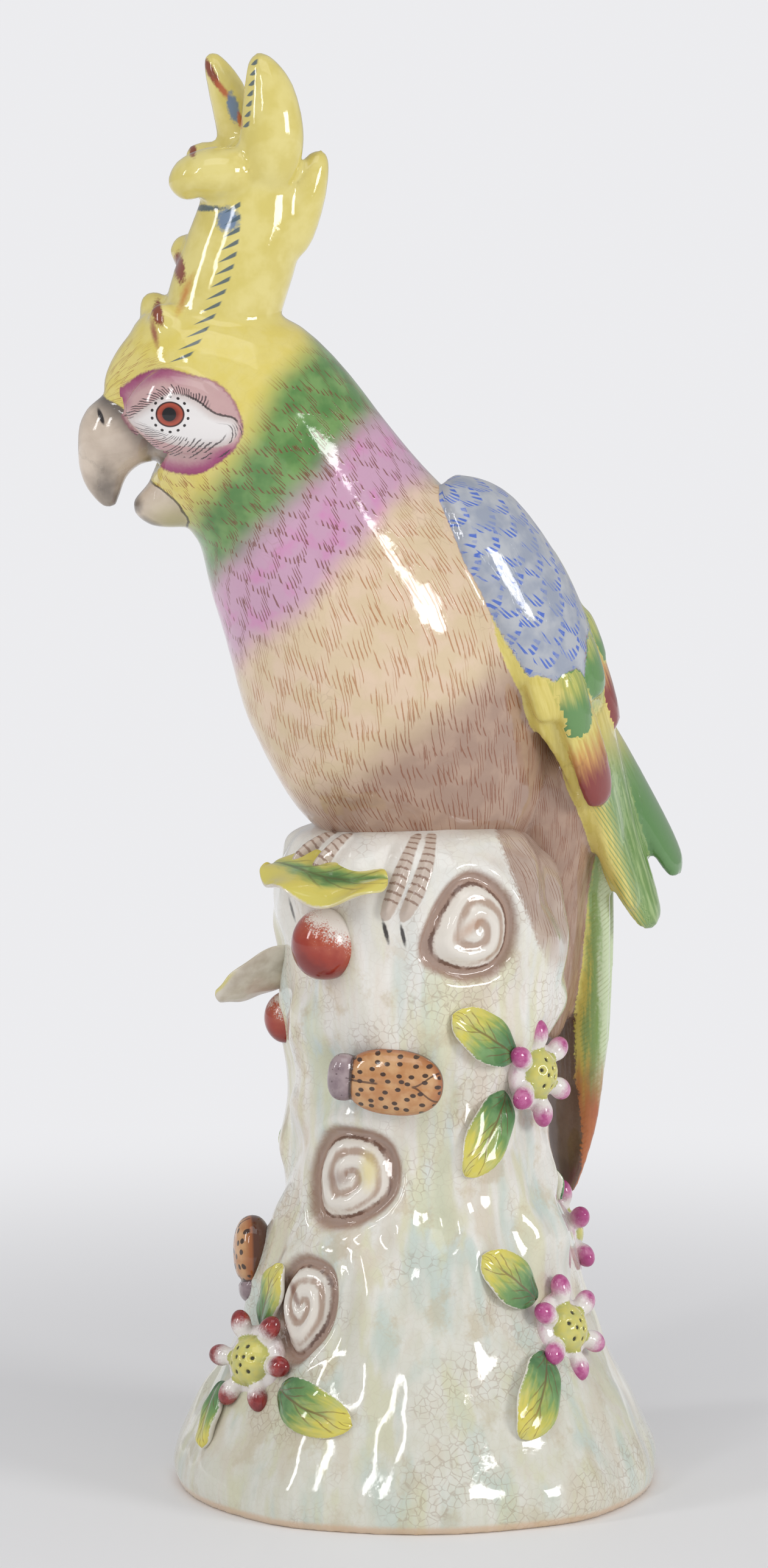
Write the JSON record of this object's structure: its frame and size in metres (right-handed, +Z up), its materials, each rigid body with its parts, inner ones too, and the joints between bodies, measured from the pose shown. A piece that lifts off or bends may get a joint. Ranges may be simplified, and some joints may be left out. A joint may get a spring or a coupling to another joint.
{
  "type": "porcelain bird figurine",
  "caption": "Glazed porcelain cockatoo with raised crest and open beak, perched on a flared tree stump with applied flowers, leaves, fruit and beetles, cast as one piece.",
  "frame": {"origin": "centre of the stump's flat underside, where it stands", "axes": "+Z up through the stump to the crest, which is the longest extent; the beak points towards -X and the bird's left wing is on the -Y side"},
  "size_m": [0.1437, 0.1156, 0.34],
  "materials": {
    "glazed_porcelain": "glossy clear glaze over hand-painted colours, with a fine crackle"
  },
  "bodies": {
    "root": {"cockatoo_on_stump": "glazed_porcelain"}
  },
  "joints": []
}
